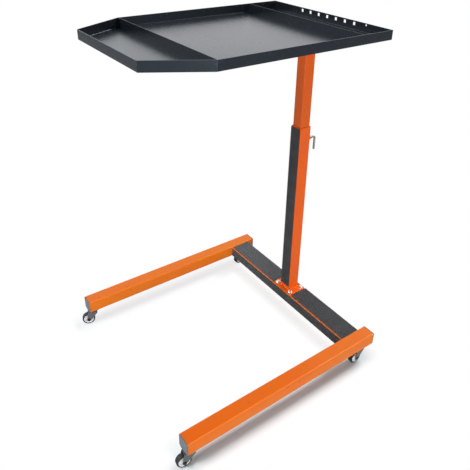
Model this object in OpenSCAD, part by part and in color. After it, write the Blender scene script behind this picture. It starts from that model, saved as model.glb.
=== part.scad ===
// Mobile workbench: a shallow steel tray on a height-adjustable mast, over a U-shaped rolling base.
// Z is up and the floor is z = 0. The open ends of the legs point to -Y, the mast stands at the rear.
// Millimetres. The origin is on the floor, in the middle of the bench's own box.

/* [Base frame] */
// width of the base over both legs
base_w = 812; // [700:2:940]
// length of a leg from end cap to end cap
leg_len = 810; // [700:5:950]
// how far a leg runs on past the mast axis at the rear
leg_tail = 74; // [66:1:110]
// outside of the square leg tube
leg_w = 50; // [44:1:60]
// wall of the leg tube
leg_wall = 2.5; // [1.5:0.5:4]
// depth of the flat crossbar tube, front to back
bar_d = 86; // [80:1:110]
// height of the crossbar tube
bar_h = 40; // [32:1:44]
// wall of the crossbar tube
bar_wall = 2.5; // [1.5:0.5:4]
// outside corner radius of the base and mast tubes
tube_r = 3; // [2:0.5:4]
// thickness of the flange of a leg's end cap
cap_t = 3; // [2:0.5:4]
// how far an end cap's plug reaches into the leg
cap_plug = 8; // [5:0.5:9]
// wall of that plug
cap_wall = 2; // [1.5:0.5:3]

/* [Guard strips] */
// thickness of the ribbed strips on top of the crossbar
top_strip_t = 4; // [2:0.5:6]
// bare edge in front of those strips
top_strip_lip = 6; // [4:1:16]
// thickness of the guard strip on the front of the crossbar
front_strip_t = 3; // [2:0.5:6]
// thickness of the guard strip on the front of the mast
mast_strip_t = 2; // [1:0.5:4]
// bare length of the mast below its strip
mast_strip_low = 14; // [6:1:40]
// bare length of the mast above its strip
mast_strip_top = 3; // [1:1:20]
// bare edge along the other sides of a strip
strip_edge = 0.5; // [0.5:0.5:3]

/* [Mast] */
// outside of the outer mast tube
mast_w = 50; // [49:1:56]
// wall of the outer mast tube
mast_wall = 2; // [1.5:0.5:2.5]
// length of the outer mast tube
mast_len = 720; // [600:5:800]
// outside of the sliding inner tube
inner_w = 43; // [34:0.5:44]
// wall of the inner tube
inner_wall = 2.5; // [1.5:0.5:4]
// length of the inner tube
inner_len = 670; // [600:5:700]
// how deep the guide sleeve sits in the mouth of the outer tube
sleeve_deep = 4; // [0:0.5:6]
// length of the plastic guide sleeve in the mouth of the outer tube
sleeve_len = 45; // [25:1:70]
// length of the plastic glide on the lower end of the inner tube
glide_len = 30; // [20:1:50]
// thickness of the foot plate under the mast
foot_t = 6; // [4:0.5:10]
// length of the foot plate along the crossbar
foot_w = 108; // [100:1:130]
// depth of the foot plate
foot_d = 78; // [74:1:80]
// distance between the foot bolts along the crossbar
foot_bolt_x = 80; // [76:1:90]
// distance between the foot bolts, front to back
foot_bolt_y = 56; // [50:1:58]
// leg of the weld bead round the foot of the mast
weld_leg = 3; // [2:0.5:4]

/* [Height lock] */
// distance from the lower end of the guide sleeve down to the lock screw
lock_below = 7; // [6:1:60]
// diameter of the welded boss that the lock screw turns in
boss_d = 18; // [15:0.5:24]
// length of that boss
boss_len = 20; // [12:1:26]
// thread and rod diameter of the lock screw
rod_d = 8; // [6:0.5:10]
// pitch of its thread, the travel in one turn
thread_pitch = 1.25; // [1:0.25:2]
// largest diameter of the screw's shoulder
shoulder_d = 13; // [11:0.5:16]
// length of that shoulder, with its taper
shoulder_len = 12; // [8:0.5:13]
// distance from the boss to the middle of the bent handle
handle_out = 26; // [25:1:40]
// length of the handle below the screw's axis
handle_len = 53; // [40:1:70]
// radius of the bend, to the middle of the rod
bend_r = 9; // [7:0.5:10]
// length of the brass tip in front of the screw
tip_len = 4; // [3:0.5:6]

/* [Tray] */
// height of the tray's rim above the floor
tray_h = 1223; // [1150:1:1250]
// width of the tray
tray_w = 562; // [480:2:620]
// width of its narrowed front
tray_front_w = 376; // [300:2:420]
// length of the tray, front to back
tray_len = 791; // [720:1:860]
// length over which its sides run in towards the front
taper_len = 165; // [120:1:220]
// how far the tray runs on past the mast axis at the rear
tray_tail = 82; // [75:1:120]
// height of its rim
rim_h = 30; // [24:0.5:36]
// thickness of the tray's sheet
sheet_t = 1.5; // [1:0.5:2.5]
// distance from the rear wall to the rear divider
rear_bay = 121; // [110:1:160]
// depth of the shallow seats in the sheet that the dividers stand in
seat_t = 0.3; // [0.1:0.1:0.6]
// width of a square tool hole in the rear wall
tool_hole = 10; // [8:0.5:13]
// number of square tool holes
tool_holes = 7; // [4:1:8]
// distance between two tool holes
tool_pitch = 41.4; // [30:0.2:44]
// distance from the rim down to the middle of the tool holes
tool_drop = 9.5; // [8:0.5:14]
// how far the row of tool holes lies to the left of the middle
tool_shift = 1; // [-10:1:10]
// diameter of the small round hole beside them
hang_hole_d = 6; // [5:0.5:8]
// distance from the last square hole to the round one
hang_gap = 51; // [30:1:60]
// distance from the rim down to the middle of the round hole
hang_drop = 5.5; // [5.5:0.5:14]
// length of the two stiffening rails under the tray
rail_len = 520; // [300:5:600]
// width of a stiffening rail
rail_w = 30; // [20:1:40]
// height of a stiffening rail
rail_h = 25; // [16:1:30]
// sheet thickness of the rails
rail_t = 2; // [1.5:0.5:3]
// distance between the middles of the rails
rail_gap = 104; // [90:1:140]
// distance from the tray's rear wall to the rear ends of the rails
rail_rear = 30; // [10:1:36]
// thickness of the head plate between the inner tube and the rails
head_t = 5; // [4:0.5:8]
// depth of the head plate, front to back
head_d = 90; // [60:1:94]
// how far the head plate stands out beside the rails
head_side = 3; // [0:0.5:10]

/* [Casters] */
// height of a caster from the floor to the leg
caster_h = 72; // [66:0.5:80]
// wheel diameter over the tyre
wheel_d = 50; // [44:0.5:54]
// width of the tread
wheel_w = 20; // [14:0.5:22]
// radial thickness of the tyre
tyre_t = 4; // [3:0.5:6]
// horizontal offset of the axle from the swivel axis
trail = 20; // [18:0.5:26]
// distance from a leg's front end to the front swivel axis
front_inset = 20; // [20:0.5:40]
// distance from a leg's rear end to the rear swivel axis
rear_inset = 46; // [26:0.5:60]
// thickness of the fork's sheet
fork_t = 2; // [1.5:0.5:3]
// side play between the tread and each fork plate
fork_side_gap = 2; // [1:0.5:3]
// radius of the eye at the end of a fork plate
eye_r = 8; // [7:0.5:9]
// axle bolt diameter
axle_d = 6; // [5:0.5:7]
// swivel pin diameter
pin_d = 8; // [7:0.5:9]
// thickness of the mounting plate
plate_t = 2.5; // [2:0.5:4]
// radius of the fixed race under the plate
race_r = 18; // [16:0.5:18]
// height of the fixed race
race_h = 5.5; // [4:0.5:6.5]
// radius of the turning cup on the fork
cup_r = 19; // [17:0.5:20]
// height of the turning cup
cup_h = 5; // [4:0.5:6]
// radius of the wheel's hub
hub_r = 8; // [6:0.5:9]
// thickness of the wheel's web
web_t = 7; // [4:0.5:10]
// thickness of the wheel's rim under the tyre
rim_t = 3; // [2:0.5:4]

/* [Caster headings] */
// direction of the front left wheel, 0 straight ahead
heading_front_left = 20; // [-20:1:20]
// direction of the front right wheel
heading_front_right = 10; // [-20:1:20]
// direction of the rear left wheel
heading_rear_left = -8; // [-60:1:60]
// direction of the rear right wheel
heading_rear_right = 0; // [-60:1:60]

/* [Clearances] */
// play between the glide or the sleeve and the tube it slides in or on
slide_gap = 0.25; // [0.1:0.05:0.5]
// radial play of a wheel on its axle and of a fork on its pin
turn_gap = 0.05; // [0.02:0.01:0.1]
// radial play of a bolt in a plain hole
bolt_gap = 0.5; // [0.25:0.25:1]
// gap between faces that turn past each other
face_gap = 0.4; // [0.2:0.1:0.8]
// gap left where a piece is pushed into a tube or on to a rim
fit_gap = 0.1; // [0.05:0.05:0.3]

/* [Hidden] */
$fn = 48;
// assembly

// how far a cutter runs past the face it opens
cut = 1;
// edge broken on rod and bolt ends
broken = 1;
// radius of the corners of small plates
plate_r = 4;
// radius of the corners of plastic plugs and sleeves
plug_r = 1;
// smallest inside corner of a tube
inside_r = 0.5;
// wheel and fork across
wheel_r = wheel_d / 2;
tread_r = 3;
rim_r = wheel_r - tyre_t;
fork_in = wheel_w + 2 * fork_side_gap;
fork_out = fork_in + 2 * fork_t;
// leg stations along the mast's own Y axis
leg_rear = leg_tail;
leg_front = leg_tail - leg_len;
leg_x = base_w / 2 - leg_w / 2;
leg_inner_x = base_w / 2 - leg_w;
front_pivot = leg_front + front_inset;
rear_pivot = leg_rear - rear_inset;
// front reach of a wheel that trails forward at a given heading
function reach(a) = trail * cos(a) + max(wheel_r * cos(a) + (wheel_w / 2 - tread_r) * abs(sin(a)),
                                         (wheel_r - tread_r) * cos(a) + wheel_w / 2 * abs(sin(a)));
front_reach = max(reach(heading_front_left), reach(heading_front_right)) - front_pivot;
rear_reach = max(tray_tail, leg_tail);
// the mast axis sits this far behind the middle of the bench's box
mast_y = (front_reach - rear_reach) / 2;
// heights
leg_z = caster_h;
bar_top = leg_z + bar_h;
foot_top = bar_top + foot_t;
mast_top = foot_top + mast_len;
tray_under = tray_h - rim_h;
head_z = tray_under - rail_h - head_t;
inner_low = head_z - inner_len;
mast_bore = mast_w - 2 * mast_wall;
inner_bore = inner_w - 2 * inner_wall;
sleeve_z = mast_top - sleeve_deep - sleeve_len;
lock_h = sleeve_z - lock_below;
// tray outline in the mast's own XY axes
tray_rear = tray_tail;
tray_front = tray_tail - tray_len;
taper_y = tray_front + taper_len;
front_div_y = taper_y + sheet_t;
rear_div_y = tray_rear - rear_bay;
side_in = (tray_w - tray_front_w) / 2;
side_len = norm([side_in, taper_len]);
// caster stations: side, swivel y, heading
spots = [[-1, front_pivot, heading_front_left], [1, front_pivot, heading_front_right],
         [-1, rear_pivot, heading_rear_left], [1, rear_pivot, heading_rear_right]];
// caster heights, from the leg down
race_low = leg_z - plate_t - race_h;
cup_top = race_low - face_gap;
crown_top = cup_top - cup_h;
crown_low = crown_top - fork_t;
// mounting plate: a margin of 2 in front and behind the race, and 4 at its sides
plate_l = 2 * (race_r + 2);
plate_w = 2 * (race_r + 4);
// the cups and races run in by this much towards each other
race_slope = 2.5;
// swivel pin: head below the crown, nut inside the leg
pin_head_r = pin_d / 2 + 3;
pin_head_h = 3;
pin_nut_af = 1.6 * pin_d;
pin_nut_h = 0.8 * pin_d;
// axle bolt's head and nut
axle_af = axle_d + 4;
axle_head = 3;
axle_nut = 4;
// corners of a hexagon across its flats
hex_grow = 1 / cos(30);
// foot bolts, M8 with a flange, and their weld nuts
bolt_d = 8;
bolt_af = 13;
bolt_head = 5.5;
flange_d = 18;
flange_t = 1.5;
nut_h = 6.5;
bolt_len = foot_t + bar_wall + nut_h + 3;
// lock screw stations behind the mast axis
tip_d = rod_d - 1.5;
tip_y = inner_w / 2 + face_gap;
boss_end = mast_w / 2 + boss_len;
shoulder_y = boss_end + thread_pitch;
collar_len = shoulder_len / 3;
bend_y = boss_end + handle_out - bend_r;

// Rectangle with round corners, centred.
module round_rect(w, d, r) {
    square([w - 2 * r, d], center = true);
    square([w, d - 2 * r], center = true);
    for (x = [-1, 1], y = [-1, 1])
        translate([x * (w / 2 - r), y * (d / 2 - r)])
            circle(r);
}

// Hollow tube section with round corners outside and inside.
module tube_section(w, d, r, wall) {
    difference() {
        round_rect(w, d, r);
        round_rect(w - 2 * wall, d - 2 * wall, max(r - wall, inside_r));
    }
}

// Hexagonal prism across flats, standing on z = 0.
module hex(af, h) {
    cylinder(h = h, d = af * hex_grow, $fn = 6);
}

// Rod standing on z = 0 with a broken edge at its top end.
module rod(d, h) {
    cylinder(h = h - broken, d = d);
    translate([0, 0, h - broken])
        cylinder(h = broken, d1 = d, d2 = d - 2 * broken);
}

// Places its children on the mast axis.
module at_mast(z = 0) {
    translate([0, mast_y, z])
        children();
}

// Places its children at a caster's swivel axis, without its heading.
module at_swivel(s) {
    translate([s[0] * leg_x, mast_y + s[1], 0])
        children();
}

// Places its children at a caster's swivel axis, with -Y along its heading.
module at_caster(s) {
    at_swivel(s)
        rotate([0, 0, -s[2]])
            children();
}

// One leg tube with a hole for each caster's pin in its lower wall.
module leg(side) {
    color([0.86, 0.34, 0.10])
        difference() {
            translate([side * leg_x, mast_y + leg_rear - cap_t, leg_z + leg_w / 2])
                rotate([90, 0, 0])
                    linear_extrude(leg_len - 2 * cap_t)
                        tube_section(leg_w, leg_w, tube_r, leg_wall);
            for (y = [front_pivot, rear_pivot])
                translate([side * leg_x, mast_y + y, leg_z - cut])
                    cylinder(h = leg_wall + 2 * cut, d = pin_d + 2 * turn_gap);
        }
}

// End cap: a flange over the tube's end and a hollow plug inside it.
module end_cap(side, y, inward) {
    plug_w = leg_w - 2 * leg_wall - 2 * fit_gap;
    color([0.62, 0.66, 0.68])
        translate([side * leg_x, mast_y + y, leg_z + leg_w / 2])
            rotate([inward * -90, 0, 0]) {
                linear_extrude(cap_t)
                    round_rect(leg_w, leg_w, tube_r);
                translate([0, 0, cap_t])
                    linear_extrude(cap_plug)
                        tube_section(plug_w, plug_w, plug_r, cap_wall);
            }
}

// Flat crossbar between the legs, with holes for the foot bolts in its top wall.
module crossbar() {
    color([0.86, 0.34, 0.10])
        at_mast()
            difference() {
                translate([-leg_inner_x, 0, leg_z + bar_h / 2])
                    rotate([90, 0, 90])
                        linear_extrude(2 * leg_inner_x)
                            tube_section(bar_d, bar_h, tube_r, bar_wall);
                foot_holes(bar_top - bar_wall - cut, bar_wall + 2 * cut);
            }
}

// Cutters for the four foot bolts.
module foot_holes(z, h) {
    for (x = [-1, 1], y = [-1, 1])
        translate([x * foot_bolt_x / 2, y * foot_bolt_y / 2, z])
            cylinder(h = h, d = bolt_d + 2 * bolt_gap);
}

// Guard strip on top of the crossbar, from the foot plate to the leg.
module top_strip(side) {
    start = foot_w / 2 + strip_edge;
    length = leg_inner_x - start;
    depth = bar_d - top_strip_lip - strip_edge;
    color([0.23, 0.23, 0.24])
        at_mast(bar_top + top_strip_t / 2)
            translate([side * (start + length / 2), (top_strip_lip - strip_edge) / 2, 0])
                cube([length, depth, top_strip_t], center = true);
}

// Guard strip on the front face of the crossbar.
module front_strip() {
    color([0.19, 0.19, 0.20])
        at_mast(leg_z + bar_h / 2)
            translate([0, -bar_d / 2 - front_strip_t / 2, 0])
                cube([2 * leg_inner_x, front_strip_t, bar_h - 2 * strip_edge], center = true);
}

// Foot plate with its four holes and the weld bead round the mast tube.
module foot_plate() {
    color([0.84, 0.33, 0.10])
        at_mast(bar_top)
            difference() {
                union() {
                    linear_extrude(foot_t)
                        round_rect(foot_w, foot_d, plate_r);
                    translate([0, 0, foot_t])
                        weld_bead();
                }
                foot_holes(-cut, foot_t + 2 * cut);
            }
}

// Weld bead: a frustum round the square tube, its sides mitred at the corners.
module weld_bead() {
    difference() {
        intersection() {
            bead_prism();
            rotate([0, 0, 90])
                bead_prism();
        }
        translate([0, 0, weld_leg / 2])
            cube([mast_w, mast_w, weld_leg + 2 * cut], center = true);
    }
}

// Prism with the bead's cross-section on both sides of the tube.
module bead_prism() {
    low = mast_w / 2 + weld_leg;
    high = mast_w / 2 + weld_leg / 6;
    rotate([90, 0, 0])
        linear_extrude(2 * low, center = true)
            polygon([[-low, 0], [low, 0], [high, weld_leg], [-high, weld_leg]]);
}

// Flanged hexagon bolt, head above the foot plate.
module foot_bolt(sx, sy) {
    color([0.78, 0.78, 0.76])
        at_mast(foot_top)
            translate([sx * foot_bolt_x / 2, sy * foot_bolt_y / 2, 0]) {
                cylinder(h = flange_t, d = flange_d);
                translate([0, 0, flange_t])
                    hex(bolt_af, bolt_head);
                rotate([180, 0, 0])
                    rod(bolt_d, bolt_len);
            }
}

// Weld nut under the crossbar's top wall.
module weld_nut(sx, sy) {
    color([0.45, 0.45, 0.45])
        at_mast(bar_top - bar_wall - nut_h)
            translate([sx * foot_bolt_x / 2, sy * foot_bolt_y / 2, 0])
                difference() {
                    hex(bolt_af, nut_h);
                    translate([0, 0, -cut])
                        cylinder(h = nut_h + 2 * cut, d = bolt_d + 2 * fit_gap);
                }
}

// Outer mast tube with the screw hole in its rear wall.
module mast_outer_tube() {
    color([0.86, 0.36, 0.11])
        at_mast(foot_top)
            difference() {
                linear_extrude(mast_len)
                    tube_section(mast_w, mast_w, tube_r, mast_wall);
                translate([0, 0, lock_h - foot_top])
                    rotate([-90, 0, 0])
                        cylinder(h = mast_w, d = rod_d + 2 * fit_gap);
            }
}

// Guard strip on the front face of the outer tube.
module mast_strip() {
    length = mast_len - mast_strip_low - mast_strip_top;
    color([0.17, 0.17, 0.18])
        at_mast(foot_top + mast_strip_low + length / 2)
            translate([0, -mast_w / 2 - mast_strip_t / 2, 0])
                cube([mast_w - 2 * strip_edge, mast_strip_t, length], center = true);
}

// Plastic sleeve in the mouth of the outer tube.
module guide_sleeve() {
    out_w = mast_bore - 2 * fit_gap;
    in_w = inner_w + 2 * slide_gap;
    color([0.08, 0.08, 0.09])
        at_mast(sleeve_z)
            linear_extrude(sleeve_len)
                difference() {
                    round_rect(out_w, out_w, plug_r);
                    square(in_w, center = true);
                }
}

// Boss welded on the rear face for the lock screw.
module lock_boss() {
    color([0.86, 0.36, 0.11])
        at_mast(lock_h)
            translate([0, mast_w / 2, 0])
                rotate([-90, 0, 0])
                    difference() {
                        cylinder(h = boss_len, d = boss_d);
                        translate([0, 0, -cut])
                            cylinder(h = boss_len + 2 * cut, d = rod_d + 2 * turn_gap);
                    }
}

// Brass tip that the screw presses against the inner tube.
module lock_tip() {
    color([0.76, 0.60, 0.32])
        at_mast(lock_h)
            translate([0, tip_y, 0])
                rotate([-90, 0, 0])
                    cylinder(h = tip_len, d = tip_d);
}

// Lock screw: threaded rod, tapered shoulder, and the rod bent down as a handle.
module lock_screw() {
    start = tip_y + tip_len;
    color([0.70, 0.71, 0.70])
        at_mast(lock_h) {
            translate([0, start, 0])
                rotate([-90, 0, 0])
                    cylinder(h = bend_y - start, d = rod_d);
            translate([0, shoulder_y, 0])
                rotate([-90, 0, 0]) {
                    cylinder(h = collar_len, d = shoulder_d);
                    translate([0, 0, collar_len])
                        cylinder(h = shoulder_len - collar_len, d1 = shoulder_d, d2 = rod_d);
                }
            translate([0, bend_y, -bend_r])
                rotate([90, 0, 90])
                    rotate_extrude(angle = 90)
                        translate([bend_r, 0])
                            circle(d = rod_d);
            translate([0, bend_y + bend_r, -bend_r])
                rotate([180, 0, 0])
                    rod(rod_d, handle_len - bend_r);
        }
}

// Sliding inner tube.
module mast_inner_tube() {
    color([0.82, 0.30, 0.09])
        at_mast(inner_low)
            linear_extrude(inner_len)
                tube_section(inner_w, inner_w, tube_r, inner_wall);
}

// Plastic glide: a shoe under the inner tube and a spigot inside it.
module inner_glide() {
    shoe = mast_bore - 2 * slide_gap;
    spigot = inner_bore - 2 * fit_gap;
    color([0.08, 0.08, 0.09])
        at_mast(inner_low) {
            translate([0, 0, -glide_len])
                linear_extrude(glide_len)
                    round_rect(shoe, shoe, plug_r);
            linear_extrude(glide_len / 2)
                round_rect(spigot, spigot, plug_r);
        }
}

// Head plate welded on the inner tube, under the two rails.
module head_plate() {
    color([0.82, 0.30, 0.09])
        at_mast(head_z)
            linear_extrude(head_t)
                round_rect(rail_gap + rail_w + 2 * head_side, head_d, plate_r);
}

// Top-hat rail under the tray: a channel that opens downwards, with its web against the sheet.
module tray_rail(side) {
    color([0.10, 0.10, 0.11])
        at_mast(tray_under - rail_h)
            translate([side * rail_gap / 2, tray_rear - rail_rear, 0])
                rotate([90, 0, 0])
                    linear_extrude(rail_len)
                        difference() {
                            translate([-rail_w / 2, 0])
                                square([rail_w, rail_h]);
                            translate([-rail_w / 2 + rail_t, -cut])
                                square([rail_w - 2 * rail_t, rail_h - rail_t + cut]);
                        }
}

// Corners of the tray's outline, moved inwards by d on every side but the rear.
function tray_outline(d, rear) =
    let (x = tray_w / 2 - d,
         y = taper_y + d * (side_len - taper_len) / side_in,
         fx = tray_front_w / 2 - d * (side_len - side_in) / taper_len,
         fy = tray_front + d)
    [[-x, rear], [-x, y], [-fx, fy], [fx, fy], [x, y], [x, rear]];

// Tray sheet with its side, front and slanted walls.
module tray_pan() {
    color([0.11, 0.12, 0.13])
        at_mast(tray_under)
            difference() {
                linear_extrude(rim_h)
                    polygon(tray_outline(0, tray_rear));
                translate([0, 0, sheet_t])
                    linear_extrude(rim_h)
                        polygon(tray_outline(sheet_t, tray_rear + cut));
                for (y = [front_div_y, rear_div_y])
                    translate([0, y, sheet_t])
                        cube([tray_w - 2 * sheet_t, sheet_t, 2 * seat_t], center = true);
            }
}

// Rear wall with the row of square tool holes and the small round hole.
module tray_rear_wall() {
    first = -(tool_holes - 1) / 2 * tool_pitch - tool_shift;
    last = first + (tool_holes - 1) * tool_pitch;
    color([0.10, 0.11, 0.12])
        at_mast()
            difference() {
                translate([-tray_w / 2 + sheet_t, tray_rear - sheet_t, tray_under + sheet_t])
                    cube([tray_w - 2 * sheet_t, sheet_t, rim_h - sheet_t]);
                for (i = [0:tool_holes - 1])
                    translate([first + i * tool_pitch, tray_rear, tray_h - tool_drop])
                        cube([tool_hole, 4 * sheet_t, tool_hole], center = true);
                translate([last + hang_gap, tray_rear + cut, tray_h - hang_drop])
                    rotate([90, 0, 0])
                        cylinder(h = sheet_t + 2 * cut, d = hang_hole_d);
            }
}

// Cross wall of the tray that stands in its seat in the sheet.
module divider(y) {
    height = rim_h - sheet_t + seat_t;
    color([0.11, 0.12, 0.13])
        at_mast(tray_h - height / 2)
            translate([0, y, 0])
                cube([tray_w - 2 * sheet_t, sheet_t, height], center = true);
}

// Front divider between the two corners where the sides start to run in.
module front_divider() {
    divider(front_div_y);
}

// Rear divider that closes off the tool bay over the mast.
module rear_divider() {
    divider(rear_div_y);
}

// Caster mount: plate and fixed race under the leg.
module caster_mount(s) {
    color([0.09, 0.09, 0.10])
        at_swivel(s)
            difference() {
                union() {
                    translate([0, 0, leg_z - plate_t])
                        linear_extrude(plate_t)
                            round_rect(plate_w, plate_l, plate_r);
                    translate([0, 0, race_low])
                        cylinder(h = race_h, r1 = race_r - race_slope, r2 = race_r);
                }
                translate([0, 0, race_low - cut])
                    cylinder(h = race_h + plate_t + 2 * cut, d = pin_d + 2 * fit_gap);
            }
}

// Swivel pin: head under the fork's crown, shank through the race, nut inside the leg.
module swivel_pin(s) {
    low = crown_low - face_gap;
    seat = leg_z + leg_wall;
    color([0.62, 0.63, 0.64])
        at_swivel(s) {
            translate([0, 0, low - pin_head_h])
                cylinder(h = pin_head_h, r = pin_head_r);
            translate([0, 0, low])
                rod(pin_d, seat + pin_nut_h + 2 * broken - low);
            translate([0, 0, seat])
                hex(pin_nut_af, pin_nut_h);
        }
}

// Fork: crown, two side plates down to the axle, and the turning cup on top.
module fork(s) {
    crown_rear = cup_r - race_slope;
    color([0.10, 0.10, 0.11])
        at_caster(s)
            difference() {
                union() {
                    translate([-fork_out / 2, -trail, crown_low])
                        cube([fork_out, trail + crown_rear, fork_t]);
                    translate([0, 0, crown_top])
                        cylinder(h = cup_h, r1 = crown_rear, r2 = cup_r);
                    for (x = [-fork_out / 2, fork_in / 2])
                        translate([x, 0, 0])
                            rotate([90, 0, 90])
                                linear_extrude(fork_t)
                                    fork_plate(crown_rear);
                }
                translate([0, 0, crown_low - cut])
                    cylinder(h = fork_t + cup_h + 2 * cut, d = pin_d + 2 * turn_gap);
                translate([-fork_out / 2 - cut, -trail, wheel_r])
                    rotate([0, 90, 0])
                        cylinder(h = fork_out + 2 * cut, d = axle_d + 2 * fit_gap);
            }
}

// Side plate of a fork in its own Y and Z, with a round eye at the axle.
module fork_plate(rear) {
    translate([-trail, wheel_r])
        circle(eye_r);
    polygon([[-trail, crown_top], [-trail - eye_r, wheel_r],
             [-trail + eye_r * cos(40), wheel_r - eye_r * sin(40)],
             [rear, crown_low - fork_t], [rear, crown_top]]);
}

// Axle bolt with a hexagon head and nut outside the fork.
module axle(s) {
    color([0.74, 0.74, 0.73])
        at_caster(s)
            translate([-fork_out / 2, -trail, wheel_r])
                rotate([0, 90, 0]) {
                    translate([0, 0, -axle_head])
                        hex(axle_af, axle_head);
                    rod(axle_d, fork_out + axle_nut + broken);
                    translate([0, 0, fork_out])
                        hex(axle_af, axle_nut);
                }
}

// Wheel body: hub, web and rim turned in one piece.
module wheel(s) {
    bore_r = axle_d / 2 + turn_gap;
    hub = fork_in / 2 - face_gap;
    web = web_t / 2;
    rim = wheel_w / 2 - 1;
    color([0.80, 0.82, 0.83])
        at_caster(s)
            translate([0, -trail, wheel_r])
                rotate([0, 90, 0])
                    rotate_extrude()
                        polygon([[bore_r, -hub], [hub_r, -hub], [hub_r, -web], [rim_r - rim_t, -web],
                                 [rim_r - rim_t, -rim], [rim_r, -rim], [rim_r, rim], [rim_r - rim_t, rim],
                                 [rim_r - rim_t, web], [hub_r, web], [hub_r, hub], [bore_r, hub]]);
}

// Tyre with broken edges.
module tyre(s) {
    half = wheel_w / 2;
    inner = rim_r + fit_gap;
    color([0.07, 0.07, 0.08])
        at_caster(s)
            translate([0, -trail, wheel_r])
                rotate([0, 90, 0])
                    rotate_extrude()
                        polygon([[inner, -half], [wheel_r - tread_r, -half], [wheel_r, -half + tread_r],
                                 [wheel_r, half - tread_r], [wheel_r - tread_r, half], [inner, half]]);
}

leg(-1);  // leg_left
leg(1);  // leg_right
end_cap(-1, leg_front, 1);  // end_cap_front_left
end_cap(1, leg_front, 1);  // end_cap_front_right
end_cap(-1, leg_rear, -1);  // end_cap_rear_left
end_cap(1, leg_rear, -1);  // end_cap_rear_right
crossbar();
top_strip(-1);  // top_strip_left
top_strip(1);  // top_strip_right
front_strip();
foot_plate();
foot_bolt(-1, -1);  // foot_bolt_front_left
foot_bolt(1, -1);  // foot_bolt_front_right
foot_bolt(-1, 1);  // foot_bolt_rear_left
foot_bolt(1, 1);  // foot_bolt_rear_right
weld_nut(-1, -1);  // weld_nut_front_left
weld_nut(1, -1);  // weld_nut_front_right
weld_nut(-1, 1);  // weld_nut_rear_left
weld_nut(1, 1);  // weld_nut_rear_right
mast_outer_tube();
mast_strip();
guide_sleeve();
lock_boss();
lock_tip();
lock_screw();
mast_inner_tube();
inner_glide();
head_plate();
tray_rail(-1);  // tray_rail_left
tray_rail(1);  // tray_rail_right
tray_pan();
tray_rear_wall();
front_divider();
rear_divider();
caster_mount(spots[0]);  // caster_mount_front_left
caster_mount(spots[1]);  // caster_mount_front_right
caster_mount(spots[2]);  // caster_mount_rear_left
caster_mount(spots[3]);  // caster_mount_rear_right
swivel_pin(spots[0]);  // swivel_pin_front_left
swivel_pin(spots[1]);  // swivel_pin_front_right
swivel_pin(spots[2]);  // swivel_pin_rear_left
swivel_pin(spots[3]);  // swivel_pin_rear_right
fork(spots[0]);  // fork_front_left
fork(spots[1]);  // fork_front_right
fork(spots[2]);  // fork_rear_left
fork(spots[3]);  // fork_rear_right
axle(spots[0]);  // axle_front_left
axle(spots[1]);  // axle_front_right
axle(spots[2]);  // axle_rear_left
axle(spots[3]);  // axle_rear_right
wheel(spots[0]);  // wheel_front_left
wheel(spots[1]);  // wheel_front_right
wheel(spots[2]);  // wheel_rear_left
wheel(spots[3]);  // wheel_rear_right
tyre(spots[0]);  // tyre_front_left
tyre(spots[1]);  // tyre_front_right
tyre(spots[2]);  // tyre_rear_left
tyre(spots[3]);  // tyre_rear_right
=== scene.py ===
import math
import bmesh
import bpy
from mathutils import Matrix, Vector


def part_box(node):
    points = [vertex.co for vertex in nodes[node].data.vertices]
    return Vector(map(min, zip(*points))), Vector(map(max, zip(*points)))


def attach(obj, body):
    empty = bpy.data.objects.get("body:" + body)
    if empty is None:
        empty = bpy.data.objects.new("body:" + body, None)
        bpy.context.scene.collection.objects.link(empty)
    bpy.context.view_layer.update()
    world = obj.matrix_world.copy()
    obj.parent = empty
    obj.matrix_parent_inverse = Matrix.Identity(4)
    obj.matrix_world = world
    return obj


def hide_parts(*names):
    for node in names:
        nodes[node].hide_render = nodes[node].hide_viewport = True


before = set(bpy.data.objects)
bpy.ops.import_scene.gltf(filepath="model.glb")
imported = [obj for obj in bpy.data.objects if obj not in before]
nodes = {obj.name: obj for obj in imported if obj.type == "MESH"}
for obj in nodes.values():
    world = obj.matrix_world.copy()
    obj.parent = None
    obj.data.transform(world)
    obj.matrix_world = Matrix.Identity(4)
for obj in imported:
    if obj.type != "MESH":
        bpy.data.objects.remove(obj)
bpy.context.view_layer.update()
mm = 0.001
places = ["front_left", "front_right", "rear_left", "rear_right"]
print("frame loaded,", len(nodes), "nodes")


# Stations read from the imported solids, in metres.
def middleOf(node):
    low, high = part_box(node)
    return (low + high) / 2


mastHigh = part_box("mast_outer_tube")[1]
mastY = middleOf("mast_outer_tube").y
barLow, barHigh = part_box("crossbar")
trayLow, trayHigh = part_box("tray_pan")
headLow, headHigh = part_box("head_plate")


# Camera: fitted to the straight edges of the legs, the mast and the tray.
photoCamera = {
    "place": (1337.0, -1236.7, 1573.4),  # mm from the mast axis on the floor
    "azimuth": 53.19,
    "elevation": 27.77,
    "roll": 1.52,
    "focal": 540.8,  # pixels of the frame
    "centre": (247.3, 178.0),  # pixel that the lens points at
    "frame": 470,
}


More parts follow.
